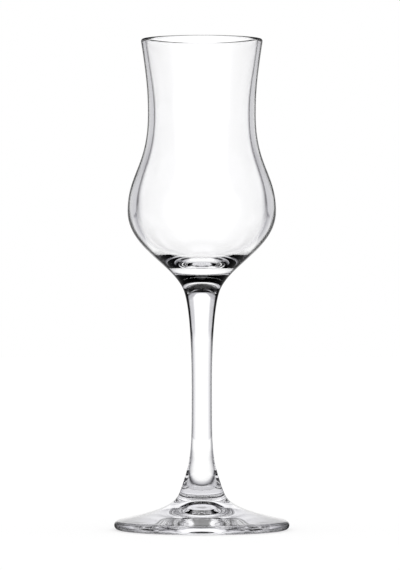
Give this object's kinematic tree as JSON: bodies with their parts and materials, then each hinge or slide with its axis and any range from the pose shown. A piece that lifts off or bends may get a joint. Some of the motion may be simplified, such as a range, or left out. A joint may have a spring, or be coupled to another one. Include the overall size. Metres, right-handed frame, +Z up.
{
  "type": "grappa glass",
  "caption": "Stemmed clear grappa glass with a tulip bowl drawn in at the waist, a slim solid stem and a broad round foot, for tasting spirits.",
  "frame": {"origin": "centre of the ring that the foot rests on", "axes": "+Z up along the glass's axis of revolution, towards the rim"},
  "size_m": [0.06, 0.06, 0.168],
  "materials": {
    "clear_glass": "fire-polished, clear and colourless"
  },
  "bodies": {
    "root": {"bowl": "clear_glass", "stem": "clear_glass", "foot": "clear_glass"}
  },
  "joints": []
}
